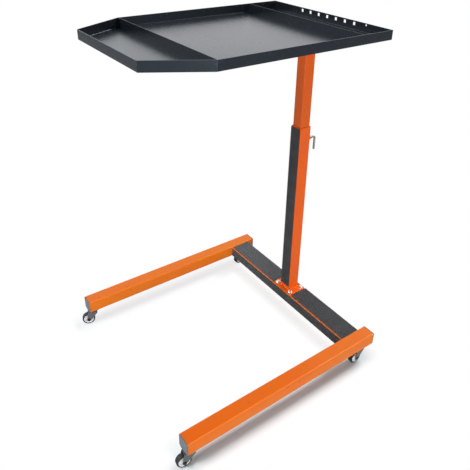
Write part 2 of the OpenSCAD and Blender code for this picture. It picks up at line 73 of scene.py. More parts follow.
def makeCamera(spec):
    az, el, roll = (math.radians(spec[key]) for key in ("azimuth", "elevation", "roll"))
    back = Vector((math.sin(az) * math.cos(el), -math.cos(az) * math.cos(el), math.sin(el)))
    right = (-back).cross(Vector((0, 0, 1))).normalized()
    up = right.cross(-back)
    tiltedRight = right * math.cos(roll) + up * math.sin(roll)
    tiltedUp = up * math.cos(roll) - right * math.sin(roll)
    lens = bpy.data.cameras.new("photoCamera")
    lens.sensor_width = 36
    lens.lens = spec["focal"] / spec["frame"] * lens.sensor_width
    lens.shift_x = (spec["frame"] / 2 - spec["centre"][0]) / spec["frame"]
    lens.shift_y = (spec["centre"][1] - spec["frame"] / 2) / spec["frame"]
    lens.clip_end = 200
    camera = bpy.data.objects.new("photoCamera", lens)
    turn = Matrix((tiltedRight, tiltedUp, back)).transposed().to_4x4()
    camera.matrix_world = Matrix.Translation(Vector(spec["place"]) * mm + Vector((0, mastY, 0))) @ turn
    bpy.context.scene.collection.objects.link(camera)
    bpy.context.scene.camera = camera


makeCamera(photoCamera)


# A socket that takes Python arithmetic, and a shader that adds nodes and links them.
class Signal:
    def __init__(self, shader, socket):
        self.shader = shader
        self.socket = socket

    def combine(self, operation, first, second):
        return self.shader.add("Math", {"operation": operation}, {0: first, 1: second})

    def __add__(self, other):
        return self.combine("ADD", self, other)

    def __radd__(self, other):
        return self.combine("ADD", other, self)

    def __sub__(self, other):
        return self.combine("SUBTRACT", self, other)

    def __rsub__(self, other):
        return self.combine("SUBTRACT", other, self)

    def __mul__(self, other):
        return self.combine("MULTIPLY", self, other)

    def __rmul__(self, other):
        return self.combine("MULTIPLY", other, self)

    def greatest(self, other):
        return self.combine("MAXIMUM", self, other)

    def size(self):
        return self.shader.add("Math", {"operation": "ABSOLUTE"}, {0: self})


class Shader:
    def __init__(self, owner):
        # owner: a new material or world
        self.owner = owner
        owner.use_nodes = True
        self.tree = owner.node_tree
        self.tree.nodes.clear()

    def add(self, kind, settings=None, sockets=None, output=0):
        node = self.tree.nodes.new("ShaderNode" + kind)
        for key, value in (settings or {}).items():
            if key == "stops":
                ramp = node.color_ramp
                for number, (place, colour) in enumerate(value):
                    stop = ramp.elements[number] if number < 2 else ramp.elements.new(place)
                    stop.position = place
                    stop.color = (*colour, 1)
            else:
                setattr(node, key, value)
        for key, value in (sockets or {}).items():
            if isinstance(value, Signal):
                self.tree.links.new(value.socket, node.inputs[key])
            else:
                node.inputs[key].default_value = value
        return Signal(self, node.outputs[output]) if len(node.outputs) else None

    def axis(self, name):
        return self.add("SeparateXYZ", {}, {0: self.add("TexCoord", output="Object")}, output=name)

    def upward(self):
        # 1 on faces that look up
        normal = self.add("NewGeometry", output="Normal")
        return self.within(self.add("SeparateXYZ", {}, {0: normal}, output="Z"), 0.4, 0.9)

    def cloud(self, perMetre, detail, rough, stretch=(1, 1, 1)):
        spot = self.add("TexCoord", output="Object")
        place = self.add("Mapping", {}, {"Vector": spot, "Scale": stretch})
        return self.add("TexNoise", {}, {"Vector": place, "Scale": perMetre, "Detail": detail,
                                         "Roughness": rough})

    def within(self, value, low, high, start=0.0, end=1.0):
        return self.add("MapRange", {"clamp": True}, {"Value": value, "From Min": low, "From Max": high,
                                                      "To Min": start, "To Max": end})

    def blend(self, mask, first, second):
        return self.add("Mix", {"data_type": "RGBA"}, {0: mask, 6: first, 7: second}, output=2)

    def ray(self, kind):
        return self.add("LightPath", output=kind)

    def finish(self, base, rough, grain, depth, strength, **others):
        bump = self.add("Bump", {}, {"Height": grain, "Distance": depth, "Strength": strength})
        values = {"Base Color": base, "Roughness": rough, "Normal": bump, **others}
        surface = self.add("BsdfPrincipled", {}, values)
        self.add("OutputMaterial", {}, {"Surface": surface})
        return self.owner


def colour(*levels):
    # 8-bit screen values to scene values
    shares = [level / 255 for level in levels]
    return (*(share / 12.92 if share <= 0.04045 else ((share + 0.055) / 1.055) ** 2.4 for share in shares), 1)


# Finishes
orangeCoat = {
    "frame": (colour(229, 119, 7), colour(227, 108, 4)),
    "mast": (colour(229, 95, 6), colour(226, 89, 4)),  # a redder batch of the same coat
    "slide": (colour(214, 88, 6), colour(206, 84, 4)),  # painted shade: the mast coat made darker, for the tray's shadow over the inner tube
    "upward": colour(226, 96, 6),  # painted shade: upward faces take this darker tone
    "run": (-0.75, 0.25),  # and the painted shade fades out from the near front to the far rear
    "pale": colour(238, 132, 24),
    "dust": colour(206, 140, 96),
    "gloss": 0.24,
    "shine": 0.34,
    "splash": (0.070, 0.125),  # floor dust thins out between these heights
    "drift": 5.5,  # clouds of tone per metre, and so on for the next ones
    "flecks": 900,
    "scuffs": 60,
    "haze": 38,
    "peel": 420,
}


def makeOrangeCoat(spec, name, batch):
    shader = Shader(bpy.data.materials.new(name))
    drift = shader.cloud(spec["drift"], 3, 0.55)
    base = shader.blend(shader.within(drift, 0.35, 0.68), *spec[batch])
    # painted shade: thick is the share of the darker top tone, strongest at the near front and fading to the
    # far rear
    thick = shader.within(shader.axis("Y") - 0.8 * shader.axis("X"), *spec["run"], 0.85, 0.15)
    base = shader.blend(shader.upward() * thick, base, spec["upward"])
    flecks = shader.within(shader.cloud(spec["flecks"], 1, 0.5), 0.60, 0.72)
    base = shader.blend(flecks * 0.10, base, spec["pale"])
    scuffs = shader.cloud(spec["scuffs"], 5, 0.65, (1.0, 0.18, 1.0))
    low = 1 - shader.within(shader.axis("Z"), *spec["splash"])
    dusty = shader.within(scuffs, 0.58, 0.76) * (0.05 + 0.12 * low)
    base = shader.blend(dusty, base, spec["dust"])
    peel = shader.cloud(spec["peel"], 1.5, 0.45)
    rough = spec["gloss"] + 0.10 * shader.cloud(spec["haze"], 4, 0.6) + 0.25 * dusty
    return shader.finish(base, rough, peel, 0.00010, 0.30, **{"Specular IOR Level": spec["shine"]})


trayCoat = {
    "paint": colour(30, 35, 40),
    "deep": colour(25, 29, 34),
    "dust": colour(86, 90, 96),
    "gloss": 0.25,
    "sheen": colour(220, 236, 255),
    "drift": 7.0,  # per metre, as above
    "haze": 5,
    "rubs": 34,
    "grain": 1500,
}


def makeTrayCoat(spec, name):
    shader = Shader(bpy.data.materials.new(name))
    drift = shader.cloud(spec["drift"], 4, 0.6)
    base = shader.blend(shader.within(drift, 0.32, 0.70), spec["paint"], spec["deep"])
    rubbed = shader.within(shader.cloud(spec["rubs"], 6, 0.7, (0.35, 1.0, 1.0)), 0.58, 0.80)
    base = shader.blend(rubbed * 0.06, base, spec["dust"])
    grain = shader.cloud(spec["grain"], 2, 0.6)
    rough = spec["gloss"] + 0.03 * shader.cloud(spec["haze"], 3, 0.5) + 0.06 * rubbed
    return shader.finish(base, rough, grain, 0.00006, 0.25, **{"Specular Tint": spec["sheen"]})


stripRubber = {
    "rubber": colour(52, 53, 55),
    "worn": colour(84, 85, 86),
    "dust": colour(104, 108, 110),
    "rough": 0.58,
    "paleTops": (0.08, -0.33),  # upward faces turn paler from here to there along X
    "tracks": 22,
    "pits": 1400,
}


def makeStripRubber(spec, name):
    shader = Shader(bpy.data.materials.new(name))
    tracks = shader.cloud(spec["tracks"], 5, 0.65)
    base = shader.blend(shader.within(tracks, 0.48, 0.72) * 0.35, spec["rubber"], spec["worn"])
    # upward faces turn paler towards -X
    paleTops = shader.within(shader.axis("X"), *spec["paleTops"], 0.12, 0.85) * shader.upward()
    base = shader.blend(paleTops, base, spec["dust"])
    pits = shader.cloud(spec["pits"], 2, 0.6)
    rough = spec["rough"] + 0.16 * tracks
    return shader.finish(base, rough, pits, 0.00008, 0.45, **{"Specular IOR Level": 0.38})


def makeMoulded(name, tint, edge, rough, grain=1200, depth=0.00005):
    shader = Shader(bpy.data.materials.new(name))
    drift = shader.cloud(30, 4, 0.6)
    base = shader.blend(shader.within(drift, 0.3, 0.72), tint, edge)
    grain = shader.cloud(grain, 2, 0.6)
    return shader.finish(base, rough + 0.14 * drift, grain, depth, 0.4, **{"Specular IOR Level": 0.45})


def makeZinc(name, tint, warm, rough):
    shader = Shader(bpy.data.materials.new(name))
    drift = shader.cloud(85, 4, 0.6)
    base = shader.blend(shader.within(drift, 0.34, 0.70), tint, warm)
    brushed = shader.cloud(700, 3, 0.6, (1, 1, 0.12))
    return shader.finish(base, rough + 0.16 * drift, brushed, 0.00004, 0.35, Metallic=1.0)


finishes = {
    "orange": makeOrangeCoat(orangeCoat, "orangeCoat", "frame"),
    "red": makeOrangeCoat(orangeCoat, "mastCoat", "mast"),
    "slide": makeOrangeCoat(orangeCoat, "shadedSlideCoat", "slide"),
    "tray": makeTrayCoat(trayCoat, "trayCoat"),
    "strip": makeStripRubber(stripRubber, "stripRubber"),
    "cap": makeMoulded("capPlastic", colour(114, 120, 123), colour(106, 112, 116), 0.36),
    "black": makeMoulded("blackPlastic", colour(30, 30, 32), colour(40, 40, 43), 0.42),
    "zinc": makeZinc("zincPlate", colour(214, 214, 210), colour(206, 202, 190), 0.22),
    "screw": makeZinc("screwPlate", colour(156, 158, 160), colour(144, 145, 144), 0.34),
    "brass": makeZinc("turnedBrass", colour(206, 170, 98), colour(190, 148, 80), 0.24),
    "caster": makeMoulded("casterCoat", colour(40, 41, 44), colour(30, 31, 34), 0.28),
    "fork": makeMoulded("forkCoat", colour(96, 99, 99), colour(82, 85, 87), 0.30),
    "wheel": makeMoulded("wheelShell", colour(232, 234, 236), colour(218, 221, 225), 0.22),
    "tyre": makeMoulded("tyreRubber", colour(20, 20, 22), colour(31, 31, 33), 0.55, 900, 0.00009),
}
print("finishes made,", len(finishes))


# Mesh helpers
def vertsIn(geom):
    return [v for v in geom if isinstance(v, bmesh.types.BMVert)]


def facesIn(geom):
    return [f for f in geom if isinstance(f, bmesh.types.BMFace)]


def unit(axis, length=1.0):
    return Vector([length if number == axis else 0.0 for number in range(3)])


def showPiece(name, bm, finish, body, replaced=(), sharp=32, clean=True, flat=True):
    if clean:
        bmesh.ops.recalc_face_normals(bm, faces=bm.faces)
    mesh = bpy.data.meshes.new(name)
    bm.to_mesh(mesh)
    bm.free()
    mesh.materials.append(finishes[finish])
    mesh.shade_smooth()
    mesh.set_sharp_from_angle(angle=math.radians(sharp))
    piece = bpy.data.objects.new(name, mesh)
    bpy.context.scene.collection.objects.link(piece)
    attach(piece, body)
    if replaced:
        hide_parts(*replaced)
    if flat:
        keepFlat(piece)
    return piece


def faceOut(bm):
    # an open sheet's normals, with those of its top turned up
    bmesh.ops.recalc_face_normals(bm, faces=bm.faces)
    if max(bm.faces, key=lambda f: f.calc_center_median().z).normal.z < 0:
        bmesh.ops.reverse_faces(bm, faces=bm.faces)


def keepFlat(piece):
    # large faces shade flat right up to their rounded edges
    weighted = piece.modifiers.new("flat", "WEIGHTED_NORMAL")
    weighted.weight = 100
    weighted.keep_sharp = True


def thicken(piece, sheet, edge, even):
    # gives a folded sheet its thickness and breaks its cut edges
    wall = piece.modifiers.new("wall", "SOLIDIFY")
    wall.thickness = sheet
    wall.offset = -1
    wall.use_even_offset = even
    rim = piece.modifiers.new("rim", "BEVEL")
    rim.width = edge
    rim.segments = 2
    rim.limit_method = "ANGLE"
    rim.angle_limit = math.radians(60)
    keepFlat(piece)


def addBlock(bm, low, high):
    low, high = Vector(low), Vector(high)
    place = Matrix.Translation((low + high) / 2) @ Matrix.Diagonal((*(high - low), 1))
    return bmesh.ops.create_cube(bm, size=1, matrix=place)["verts"]


def edgesOf(verts):
    chosen = set(verts)
    return [e for e in {e for v in verts for e in v.link_edges} if set(e.verts) <= chosen]


def edgesAlong(verts, axis):
    return [e for e in edgesOf(verts)
            if abs((e.verts[0].co - e.verts[1].co).normalized()[axis]) > 0.99]


def roundEdges(bm, edges, radius, segments=3):
    return bmesh.ops.bevel(bm, geom=edges, offset=radius, offset_type="OFFSET", affect="EDGES",
                           segments=segments, profile=0.5, material=-1, clamp_overlap=True)


def addSlab(bm, low, high, corner, edge):
    # a plate with round corners and the edges of its flat faces broken
    verts = addBlock(bm, low, high)
    made = roundEdges(bm, edgesAlong(verts, 2), corner, 4)
    around = {v for f in made["faces"] for v in f.verts} | {v for v in verts if v.is_valid}
    flats = [f for f in {f for v in around for f in v.link_faces} if abs(f.normal.z) > 0.99]
    roundEdges(bm, list({e for f in flats for e in f.edges}), edge, 2)


def turned(outline, place, steps, corner=0.0, cornerSteps=2):
    # a closed section of (radius, height) points, turned about Z and set in place
    bm = bmesh.new()
    start = [bm.verts.new((r, 0, h)) for r, h in outline]
    rims = [bm.edges.new((start[n], start[(n + 1) % len(start)])) for n in range(len(start))]
    if corner:
        outer = [v for v in start if v.co.x > 1e-6]
        bmesh.ops.bevel(bm, geom=outer, offset=corner, affect="VERTICES", segments=cornerSteps,
                        profile=0.5, material=-1, clamp_overlap=True)
        bm.verts.ensure_lookup_table()
        start = [v for v in bm.verts if v.link_edges]
        rims = list(bm.edges)
    bmesh.ops.spin(bm, geom=start + rims, cent=(0, 0, 0), axis=(0, 0, 1), dvec=(0, 0, 0),
                   angle=2 * math.pi, steps=steps, use_merge=True, use_duplicate=False)
    bmesh.ops.remove_doubles(bm, verts=list(bm.verts), dist=1e-7)
    bmesh.ops.delete(bm, geom=[e for e in bm.edges if e.is_wire], context="EDGES")  # left on the axis
    bmesh.ops.recalc_face_normals(bm, faces=bm.faces)
    bmesh.ops.transform(bm, matrix=place, verts=bm.verts)
    return bm


def addMesh(bm, other):
    # joins a bmesh made apart, and frees it
    mesh = bpy.data.meshes.new("joining")
    other.to_mesh(mesh)
    other.free()
    bm.from_mesh(mesh)
    bpy.data.meshes.remove(mesh)


def addHexagon(bm, acrossFlats, low, high, chamfer, place):
    radius = acrossFlats / 2 / math.cos(math.radians(30))
    made = bmesh.ops.create_cone(bm, cap_ends=True, segments=6, radius1=radius, radius2=radius,
                                 depth=high - low,
                                 matrix=place @ Matrix.Translation((0, 0, (low + high) / 2)))
    back = place.inverted()
    sides = {f for v in made["verts"] for f in v.link_faces}
    top = max(sides, key=lambda f: (back @ f.calc_center_median()).z)
    roundEdges(bm, list(top.edges), chamfer, 2)


weldScale = {"long": 0.55, "high": 0.62, "swell": 0.06, "lean": 18}  # shares of the radius, and degrees


def addWeldBead(bm, start, end, radius, pitch, normal):
    # overlapping scales along a straight seam, each leaning a little with the torch
    start, end, normal = Vector(start), Vector(end), Vector(normal).normalized()
    run = end - start
    along = run.normalized()
    count = max(2, round(run.length / pitch))
    side = normal.cross(along)
    turn = Matrix((along, side, normal)).transposed().to_4x4()
    for number in range(count + 1):
        spot = start + run * number / count
        lean = Matrix.Rotation(math.radians(weldScale["lean"]), 4, "Y")
        wide = radius * (1 + weldScale["swell"] * math.sin(number * 2.4))
        shape = Matrix.Diagonal((weldScale["long"] * radius, wide, weldScale["high"] * wide, 1))
        scale = bmesh.new()
        bmesh.ops.create_uvsphere(scale, u_segments=10, v_segments=6, radius=1,
                                  matrix=Matrix.Translation(spot) @ turn @ lean @ shape)
        addMesh(bm, scale)


def addSquareWeld(bm, half, level, radius, pitch, lean):
    # a seam round a square tube on the mast axis; it leans up or down
    corners = [Vector((x * half, mastY + y * half, level)) for x, y in ((-1, -1), (1, -1), (1, 1), (-1, 1))]
    for number, corner in enumerate(corners):
        following = corners[(number + 1) % 4]
        out = ((corner + following) / 2 - Vector((0, mastY, level))).normalized()
        addWeldBead(bm, corner, following, radius, pitch, out + Vector((0, 0, lean)))


def dress(finish, *names):
    # a carried-over solid takes a finish in each of its material slots
    for name in names:
        mesh = nodes[name].data
        if not mesh.materials:
            mesh.materials.append(finishes[finish])
        for number in range(len(mesh.materials)):
            mesh.materials[number] = finishes[finish]


# Tubes, carried over from the solids
dress("orange", "leg_left", "leg_right", "crossbar")
dress("red", "mast_outer_tube")
# the inner tube takes the darker coat: painted shade under the tray
dress("slide", "mast_inner_tube")
dress("zinc", *["weld_nut_" + place for place in places], *["swivel_pin_" + place for place in places])
dress("brass", "lock_tip")
dress("black", "inner_glide", "guide_sleeve")


# End caps of the legs
endCap = {
    "corner": 3 * mm,
    "flange": 3 * mm,
    "wall": 2.6 * mm,  # from the flange's edge to the plug
    "plugCorner": 1 * mm,
    # inset from the edge and height over the face: shadow gap, broken edge, border, groove, panel
    "steps": [(1.6, -1.5), (0.0, -1.4), (0.0, -0.6), (0.18, -0.18), (0.6, 0.0), (2.4, 0.0), (2.7, -0.6),
              (3.5, -0.6), (4.1, 0.0), (12.0, 0.0)],
}


def squarePlate(bm, half, corner, level):
    # a flat square face with round corners
    plate = bmesh.ops.create_grid(bm, x_segments=1, y_segments=1, size=half,
                                  matrix=Matrix.Translation((0, 0, level)))
    made = bmesh.ops.bevel(bm, geom=plate["verts"], offset=corner, offset_type="OFFSET", affect="VERTICES",
                           segments=5, profile=0.5, material=-1, clamp_overlap=True)
    return next(f for f in bm.faces if set(made["verts"]) <= set(f.verts))


def drawOut(bm, face, share, lift):
    # extrudes a face, then makes the new one smaller and raises it
    made = bmesh.ops.extrude_face_region(bm, geom=[face, *face.edges])["geom"]
    bmesh.ops.scale(bm, vec=(share, share, 1), verts=vertsIn(made))
    bmesh.ops.translate(bm, vec=(0, 0, lift), verts=vertsIn(made))
    return facesIn(made)[0]


def makeEndCap(spec, place):
    node = "end_cap_" + place
    low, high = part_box(node)
    half = (high.x - low.x) / 2
    depth = high.y - low.y
    bm = bmesh.new()
    face = squarePlate(bm, half - spec["wall"], spec["plugCorner"], -depth)
    drawOut(bm, face, 1, depth - spec["flange"] / 2)
    width, level = half - spec["steps"][0][0] * mm, -spec["flange"]
    face = squarePlate(bm, width, spec["corner"], level)
    for inset, height in spec["steps"]:
        wanted, rise = half - inset * mm, height * mm - level
        face = drawOut(bm, face, wanted / width, rise)
        width, level = wanted, height * mm
    outward = -1 if place.startswith("front") else 1
    spot = Vector(((low.x + high.x) / 2, low.y if outward < 0 else high.y, (low.z + high.z) / 2))
    turn = Matrix.Rotation(math.radians(-90 * outward), 4, "X")
    bmesh.ops.transform(bm, matrix=Matrix.Translation(spot) @ turn, verts=bm.verts)
    showPiece("endCap_" + place, bm, "cap", "base", [node])


for place in places:
    makeEndCap(endCap, place)
print("end caps made")


# Ribbed rubber strips
ribbedStrip = {
    "pitch": 3.0 * mm,
    "depth": 0.7 * mm,
    "flank": 0.55 * mm,  # how far a rib's side leans in
    "margin": 1.2 * mm,  # plain border beside the first rib
    "edge": 0.4 * mm,
}


def makeRibbedStrip(spec, name, node, faceAxis, faceSign, acrossAxis):
    # a sheet of lengthwise lands: every second one is raised, then the sheet gets its thickness
    low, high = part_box(node)
    middle = (low + high) / 2
    alongAxis = 3 - faceAxis - acrossAxis
    width = high[acrossAxis] - low[acrossAxis] - 2 * spec["margin"]
    length = high[alongAxis] - low[alongAxis]
    thick = high[faceAxis] - low[faceAxis]
    ribs = int(width / spec["pitch"])
    face, across = unit(faceAxis, faceSign), unit(acrossAxis)
    turn = Matrix((across, face.cross(across), face)).transposed().to_4x4()
    bm = bmesh.new()
    bmesh.ops.create_grid(bm, x_segments=2 * ribs + 1, y_segments=1, size=0.5,
                          matrix=Matrix.Diagonal((width, length, 1, 1)))
    lands = sorted(bm.faces, key=lambda f: f.calc_center_median().x)[1::2]
    bmesh.ops.inset_individual(bm, faces=lands, thickness=spec["flank"] / 2, depth=0, use_even_offset=True)
    up = {v for f in lands for v in f.verts}
    bmesh.ops.translate(bm, vec=(0, 0, spec["depth"]), verts=list(up))
    rim = [e for e in bm.edges if e.is_boundary]
    skirt = bmesh.ops.extrude_edge_only(bm, edges=rim)["geom"]
    for v in vertsIn(skirt):
        if abs(v.co.x) > width / 2 - 1e-6:
            v.co.x += math.copysign(spec["margin"], v.co.x)
    walls = bmesh.ops.extrude_edge_only(bm, edges=[e for e in bm.edges if e.is_boundary])["geom"]
    bmesh.ops.translate(bm, vec=(0, 0, spec["depth"] - thick), verts=vertsIn(walls))
    bmesh.ops.holes_fill(bm, edges=[e for e in bm.edges if e.is_boundary], sides=0)
    bmesh.ops.remove_doubles(bm, verts=bm.verts, dist=1e-6)
    top = middle + face * (thick / 2 - spec["depth"])
    bmesh.ops.transform(bm, matrix=Matrix.Translation(top) @ turn, verts=bm.verts)
    showPiece(name, bm, "strip", "base", [node], sharp=20)


makeRibbedStrip(ribbedStrip, "topStripLeft", "top_strip_left", 2, 1, 1)
makeRibbedStrip(ribbedStrip, "topStripRight", "top_strip_right", 2, 1, 1)
makeRibbedStrip(ribbedStrip, "frontStrip", "front_strip", 1, -1, 2)
makeRibbedStrip(ribbedStrip, "mastStrip", "mast_strip", 1, -1, 0)
print("ribbed strips made")


# Foot of the mast: plate, bolts and the weld round the tube
footPlate = {
    "thick": 6 * mm,
    "corner": 4 * mm,
    "edge": 0.8 * mm,
    "weld": 3.0 * mm,
    "weldPitch": 1.7 * mm,
}
footBolt = {
    "flange": 9.0 * mm,
    "flangeEdge": 0.9 * mm,
    "flangeTop": 2.3 * mm,
    "flats": 13 * mm,
    "head": 7.0 * mm,  # flange and hexagon together
    "dish": 4.2 * mm,
    "shank": 4.0 * mm,
}


def makeFootPlate(spec):
    low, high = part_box("foot_plate")
    top = low.z + spec["thick"]
    bm = bmesh.new()
    addSlab(bm, low, (high.x, high.y, top), spec["corner"], spec["edge"])
    showPiece("footPlate", bm, "red", "base", ["foot_plate"])
    bm = bmesh.new()
    reach = spec["weld"] * 0.28
    addSquareWeld(bm, mastHigh.x + reach, top + reach, spec["weld"], spec["weldPitch"], 1)
    showPiece("footWeld", bm, "red", "base", sharp=60, clean=False)
    return top


footTop = makeFootPlate(footPlate)


def makeFootBolt(spec, place):
    node = "foot_bolt_" + place
    flats, head, dish, shank = spec["flats"], spec["head"], spec["dish"], spec["shank"]
    seat = Matrix.Translation((*middleOf(node).xy, footTop))
    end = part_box(node)[0].z - footTop
    outline = [(0, 0), (spec["flange"], 0), (spec["flange"], spec["flangeEdge"]),
               (flats * 0.56, spec["flangeTop"]), (0, spec["flangeTop"])]
    bm = turned(outline, seat, 40, 0.25 * mm)
    addHexagon(bm, flats, 1.2 * mm, head - 0.5 * mm, 0.7 * mm, seat)
    crown = [(0, head - 1.4 * mm), (flats * 0.46, head - 1.4 * mm), (flats * 0.43, head - 0.2 * mm),
             (dish, head), (dish * 0.82, head - 0.5 * mm), (0, head - 0.7 * mm)]
    addMesh(bm, turned(crown, seat, 32))
    rod = [(0, end), (shank - 0.8 * mm, end), (shank, end + 0.8 * mm), (shank, 0.2 * mm), (0, 0.2 * mm)]
    addMesh(bm, turned(rod, seat, 24))
    showPiece("footBolt_" + place, bm, "zinc", "base", [node])


for place in places:
    makeFootBolt(footBolt, place)
print("mast foot made")


# Weld seams between the crossbar and the legs, where no strip covers them
frameWeld = {"radius": 3.2 * mm, "pitch": 2.0 * mm, "clear": 4 * mm, "clearStrip": 3 * mm, "clearLow": 5 * mm}


def makeFrameWelds(spec):
    inset = spec["radius"] * 0.25
    front, rear, top = barLow.y + spec["clear"], barHigh.y + inset, barHigh.z + inset
    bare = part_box("top_strip_left")[0].y - spec["clearStrip"]
    low, high = barLow.z + spec["clearLow"], barHigh.z - spec["clear"]
    for side, name in ((-1, "Left"), (1, "Right")):
        x = side * (barHigh.x - inset)
        bm = bmesh.new()
        addWeldBead(bm, (x, front, top), (x, bare, top), spec["radius"], spec["pitch"], (-side, 0, 1))
        addWeldBead(bm, (x, rear, low), (x, rear, high), spec["radius"], spec["pitch"], (-side, 1, 0))
        showPiece("legWeld" + name, bm, "orange", "base", sharp=60, clean=False)


makeFrameWelds(frameWeld)


# Height lock: boss with its weld, and the bent screw
lockSpot = middleOf("lock_boss")
bossLow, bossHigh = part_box("lock_boss")
screwLow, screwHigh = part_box("lock_screw")
alongY = Matrix.Rotation(math.radians(-90), 4, "X")  # Z of a lathe to +Y
lockAxis = Matrix.Translation((lockSpot.x, bossLow.y, lockSpot.z)) @ alongY
lockBoss = {
    "bore": 4.05 * mm,
    "edge": 1.0 * mm,
    "weld": 2.6 * mm,
    "weldScales": 30,
}
lockScrew = {
    "rod": 4.0 * mm,
    "shoulder": 6.5 * mm,
    "collar": 4.0 * mm,
    "taper": 12.0 * mm,
    "gap": 1.25 * mm,
    "bend": 9.0 * mm,
    "threadPitch": 1.25 * mm,
    "threadDepth": 0.55 * mm,
    "nose": 1.6 * mm,
}


def makeLockBoss(spec):
    length = bossHigh.y - bossLow.y
    radius = (bossHigh.x - bossLow.x) / 2
    bore, edge = spec["bore"], spec["edge"]
    outline = [(bore, 0), (radius, 0), (radius, length - edge), (radius - edge, length),
               (bore + 0.6 * mm, length), (bore, length - 0.6 * mm)]
    bm = turned(outline, lockAxis, 48)
    showPiece("lockBoss", bm, "red", "base", ["lock_boss"])
    bm = bmesh.new()
    reach = radius + spec["weld"] * 0.3
    for number in range(spec["weldScales"]):
        turn = Matrix.Rotation(2 * math.pi * number / spec["weldScales"], 4, "Z")
        scale = Matrix.Diagonal((spec["weld"] * 0.8, spec["weld"] * 0.62, spec["weld"] * 0.8, 1))
        spot = lockAxis @ turn @ Matrix.Translation((reach, 0, spec["weld"] * 0.3)) @ scale
        bmesh.ops.create_uvsphere(bm, u_segments=10, v_segments=6, radius=1, matrix=spot)
    showPiece("lockWeld", bm, "red", "base", sharp=60, clean=False)


def makeLockScrew(spec):
    start = screwLow.y - bossLow.y  # the rod's front end, inside the mast
    rod, wide, pitch = spec["rod"], spec["shoulder"], spec["threadPitch"]
    bendStart = screwHigh.y - rod - spec["bend"] - bossLow.y
    shoulder = bossHigh.y - bossLow.y + spec["gap"]
    taperEnd = shoulder + spec["taper"]
    bm = bmesh.new()
    outline = [(0, start), (rod - 0.6 * mm, start)]
    for number in range(int((shoulder - start - 1 * mm) / pitch)):  # the thread, as a row of crests
        level = start + 0.5 * mm + number * pitch
        outline += [(rod - spec["threadDepth"], level), (rod, level + pitch * 0.5)]
    outline += [(rod - spec["threadDepth"], shoulder - 0.2 * mm), (wide - 0.5 * mm, shoulder),
                (wide, shoulder + 0.5 * mm), (wide, shoulder + spec["collar"]),
                (rod + 0.5 * mm, taperEnd - 0.6 * mm), (rod, taperEnd), (0, taperEnd)]
    addMesh(bm, turned(outline, lockAxis, 32))
    # the plain rod: a disc drawn out, swung round the bend and drawn down
    ring = bmesh.ops.create_circle(bm, cap_ends=True, segments=24, radius=rod,
                                   matrix=lockAxis @ Matrix.Translation((0, 0, taperEnd - 1 * mm)))["verts"]
    cap = ring[0].link_faces[0]
    out = bmesh.ops.extrude_face_region(bm, geom=[cap, *cap.edges])["geom"]
    bmesh.ops.translate(bm, vec=(0, bendStart - taperEnd + 1 * mm, 0), verts=vertsIn(out))
    face = facesIn(out)[0]
    pivot = Vector((lockSpot.x, bossLow.y + bendStart, lockSpot.z - spec["bend"]))
    swung = bmesh.ops.spin(bm, geom=[face, *face.edges], cent=pivot, axis=(-1, 0, 0), dvec=(0, 0, 0),
                           angle=math.pi / 2, steps=12, use_merge=False, use_duplicate=False)["geom_last"]
    face = facesIn(swung)[0]
    tail = bmesh.ops.extrude_face_region(bm, geom=[face, *face.edges])["geom"]
    level = min(v.co.z for v in vertsIn(tail))
    bmesh.ops.translate(bm, vec=(0, 0, screwLow.z - level), verts=vertsIn(tail))
    roundEdges(bm, list(facesIn(tail)[0].edges), spec["nose"], 4)
    showPiece("lockScrew", bm, "screw", "lock_handle", ["lock_screw"])


makeLockBoss(lockBoss)
makeLockScrew(lockScrew)
print("height lock made")


# Tray: one folded sheet, with rounded bends and the holes of the rear wall
trayShell = {
    "sheet": 1.5 * mm,
    "bend": 3.0 * mm,  # outside radius where the walls fold up
    "corner": 0.8 * mm,  # outside radius of the upright corners
    "lip": 0.45 * mm,  # edge broken along the rim
    "frontWidth": 376 * mm,
    "taper": 165 * mm,
    "hole": 10 * mm,
    "holes": 7,
    "pitch": 41.4 * mm,
    "shift": 1 * mm,
    "drop": 9.5 * mm,
    "round": 3.0 * mm,  # the small round hole beside the row
    "roundGap": 51 * mm,
    "roundDrop": 5.5 * mm,
    "cell": 1.6 * mm,  # sheet around that hole in the square that it is set in
}


def cutLine(bm, faces, axis, value):
    # cuts only the given upright faces at one station
    edges = {e for f in faces for e in f.edges}
    verts = {v for f in faces for v in f.verts}
    made = bmesh.ops.bisect_plane(bm, geom=[*verts, *edges, *faces], dist=1e-7,
                                  plane_co=unit(axis, value), plane_no=unit(axis))
    return facesIn(set(made["geom"]))


